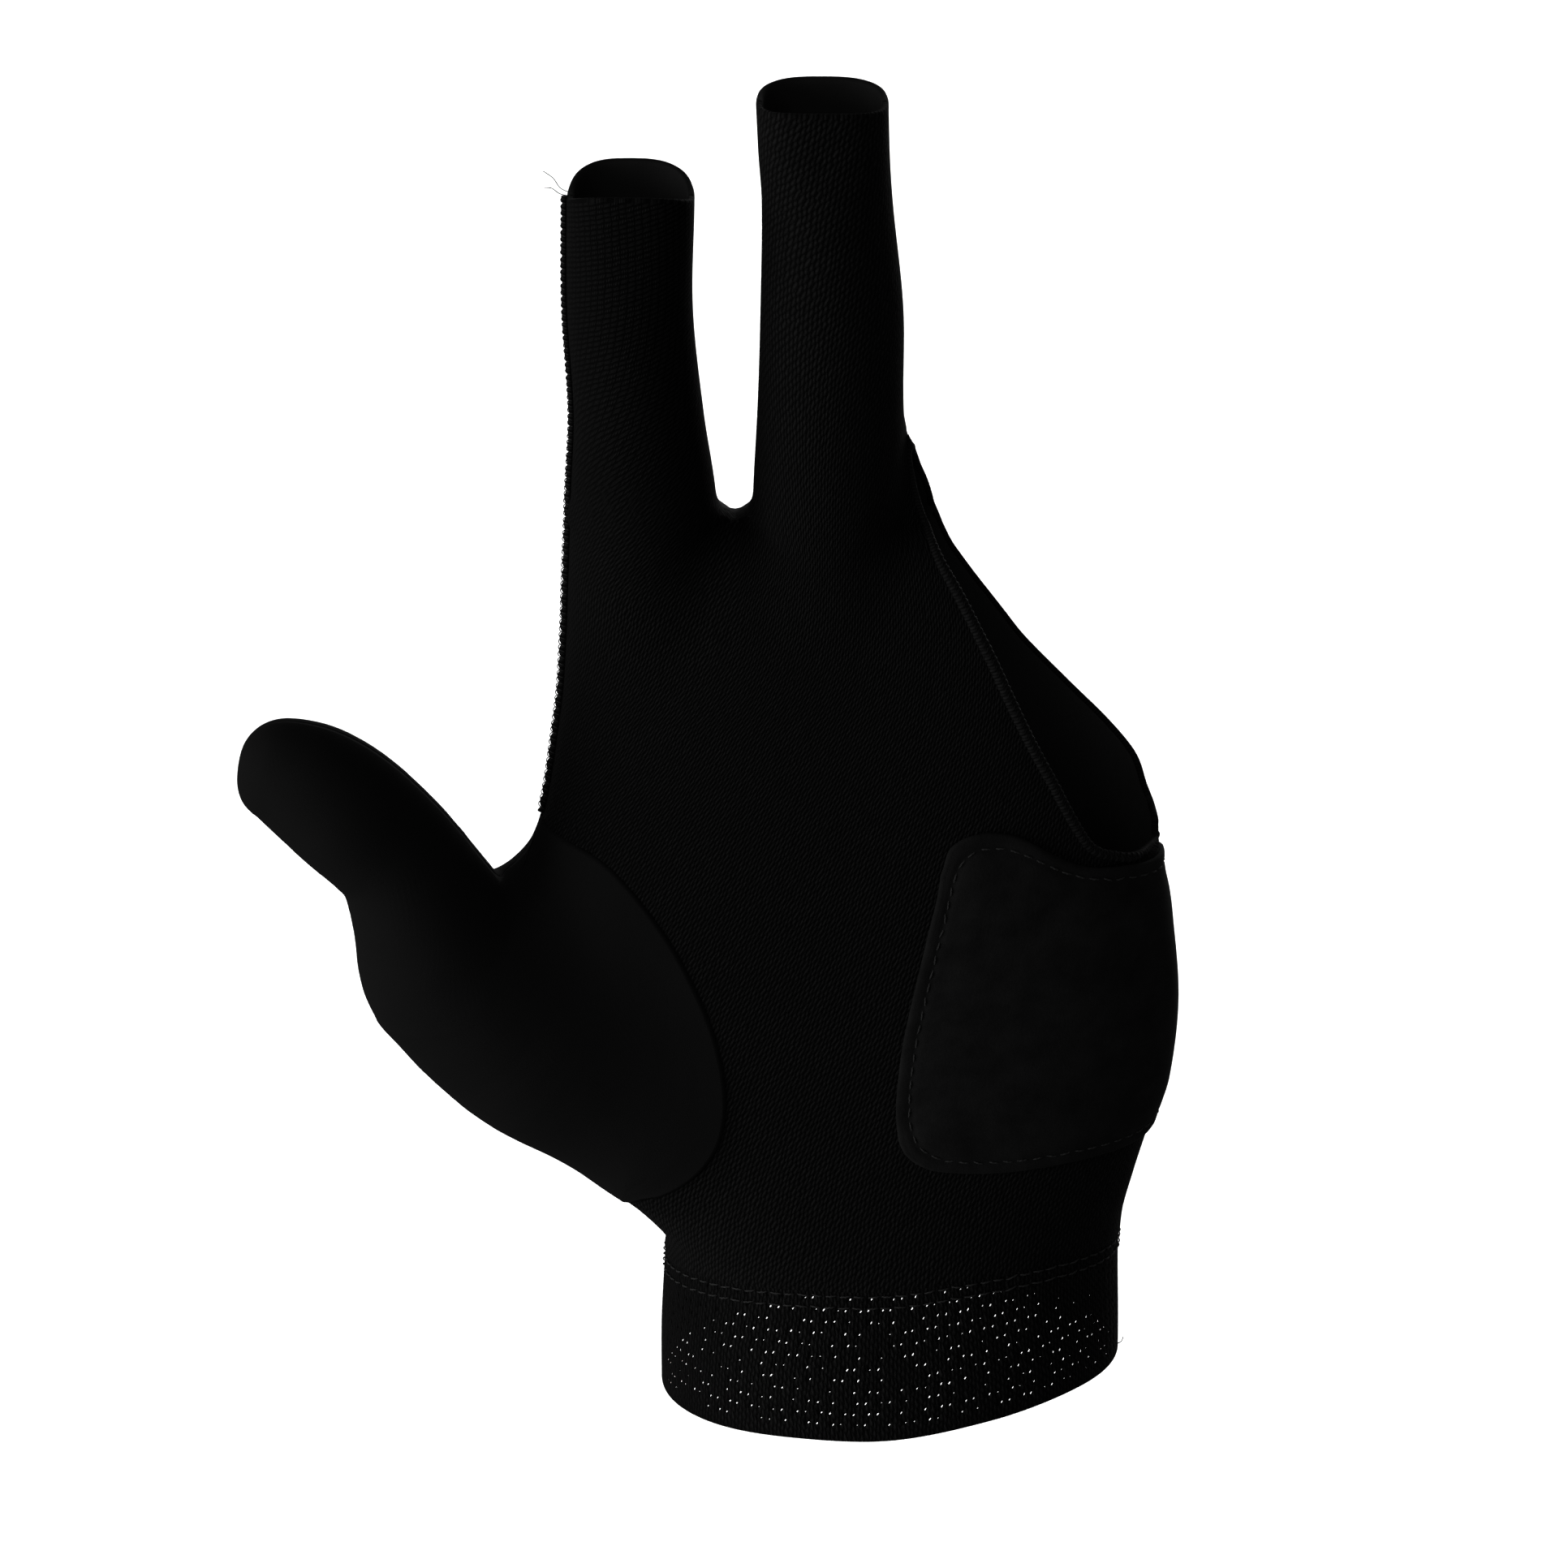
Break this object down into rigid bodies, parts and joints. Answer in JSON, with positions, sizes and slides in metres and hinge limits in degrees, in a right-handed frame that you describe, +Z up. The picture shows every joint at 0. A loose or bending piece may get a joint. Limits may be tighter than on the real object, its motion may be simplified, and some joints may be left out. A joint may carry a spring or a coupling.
{
  "type": "billiard glove",
  "caption": "Stretch glove for the left hand with a closed thumb, open index and middle finger tubes, a slanted opening for the other fingers and a palm pad.",
  "frame": {"origin": "centre of the wrist opening, where the hand goes in", "axes": "+Z up the hand towards the fingertips, -Y out of the palm, -X towards the thumb"},
  "size_m": [0.1385, 0.0507, 0.2025],
  "materials": {
    "knit": "matt black ribbed knit",
    "stretch_cloth": "matt black smooth stretch cloth",
    "microfibre": "black microfibre with a faint sheen",
    "mesh": "matt black open mesh",
    "suede": "black napped suede-like cloth",
    "thread": "black sewing thread, slightly shiny"
  },
  "bodies": {
    "root": {"palm_panel": "knit", "back_panel": "stretch_cloth", "thumb_front": "microfibre", "thumb_back": "microfibre", "wrist_band": "mesh", "heel_pad": "suede", "opening_binding": "thread", "index_side_seam": "thread"}
  },
  "joints": []
}
